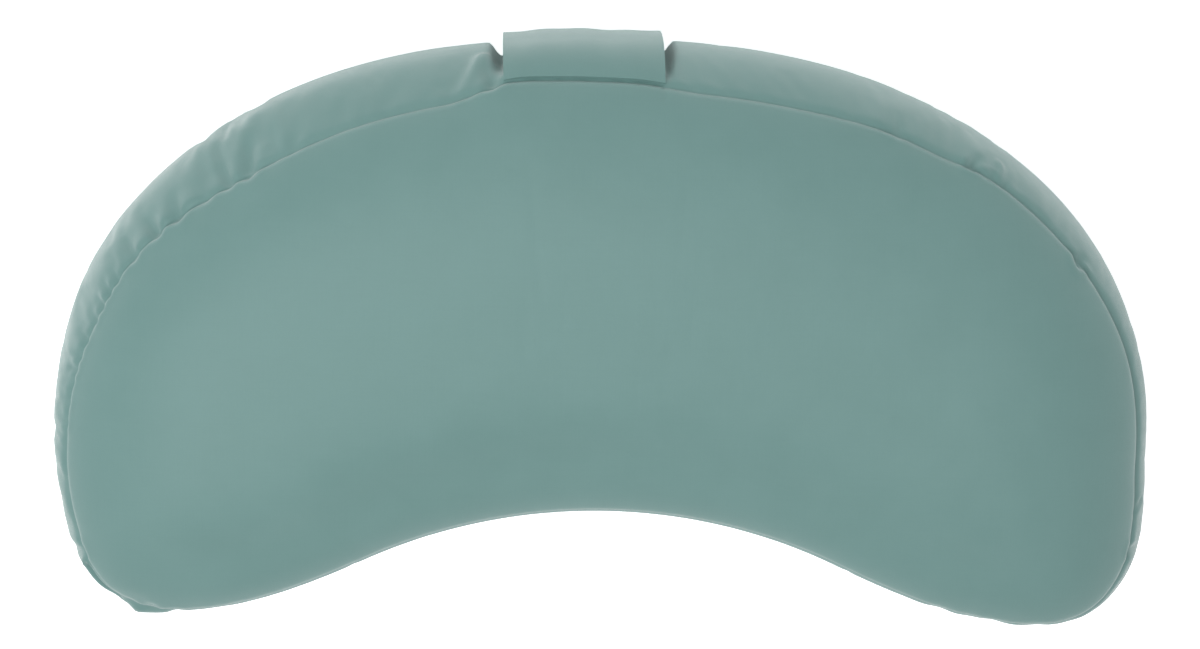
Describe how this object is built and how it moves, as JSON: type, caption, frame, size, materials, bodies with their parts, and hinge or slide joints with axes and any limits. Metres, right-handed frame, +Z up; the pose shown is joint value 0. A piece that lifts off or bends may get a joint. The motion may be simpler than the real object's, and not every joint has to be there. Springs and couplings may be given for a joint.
{
  "type": "crescent support cushion",
  "caption": "Crescent-shaped floor and lumbar support cushion with a domed top panel, a swelling side band, a carry strap and a zipped cover over a hull-filled liner.",
  "frame": {"origin": "centre of the bounding box's base, on the surface the cushion lies on", "axes": "+Z up out of the top panel, +X along the cushion's length, +Y towards the convex side with the carry strap; the hollow side faces -Y"},
  "size_m": [0.4688, 0.2505, 0.1241],
  "materials": {
    "cover_fabric": "smooth fine weave, matt with a soft sheen",
    "liner_cotton": "undyed plain weave",
    "hull_fill": "loose dry hulls",
    "zip_nylon": "dyed to match the cover",
    "zip_metal": "satin plated"
  },
  "bodies": {
    "cushion": {"cover_top_panel": "cover_fabric", "cover_bottom_panel": "cover_fabric", "cover_outer_band": "cover_fabric", "zip_band_upper": "cover_fabric", "zip_band_lower": "cover_fabric", "zip_end_tab_left": "cover_fabric", "zip_end_tab_right": "cover_fabric", "carry_strap": "cover_fabric", "zipper_tape_upper": "zip_nylon", "zipper_tape_lower": "zip_nylon", "zipper_coil_upper": "zip_nylon", "zipper_coil_lower": "zip_nylon", "top_stop_upper": "zip_metal", "top_stop_lower": "zip_metal", "bottom_stop": "zip_metal", "liner_top_panel": "liner_cotton", "liner_bottom_panel": "liner_cotton", "liner_outer_band": "liner_cotton", "liner_inner_band": "liner_cotton", "hull_fill": "hull_fill"},
    "slider": {"zipper_slider": "zip_metal"},
    "pull_tab": {"zipper_pull_tab": "zip_metal"}
  },
  "joints": [
    {"name": "slider_travel", "type": "hinge", "parent": "cushion", "child": "slider", "pos_m": [0, -0.3048, 0.057], "axis": [0, 0, -1], "range_deg": [0, 46.14]},
    {"name": "pull_tab_flip", "type": "hinge", "parent": "slider", "child": "pull_tab", "pos_m": [-0.08753, -0.09932, 0.057], "axis": [-0.92, -0.3919, 0], "range_deg": [0, 170]}
  ]
}
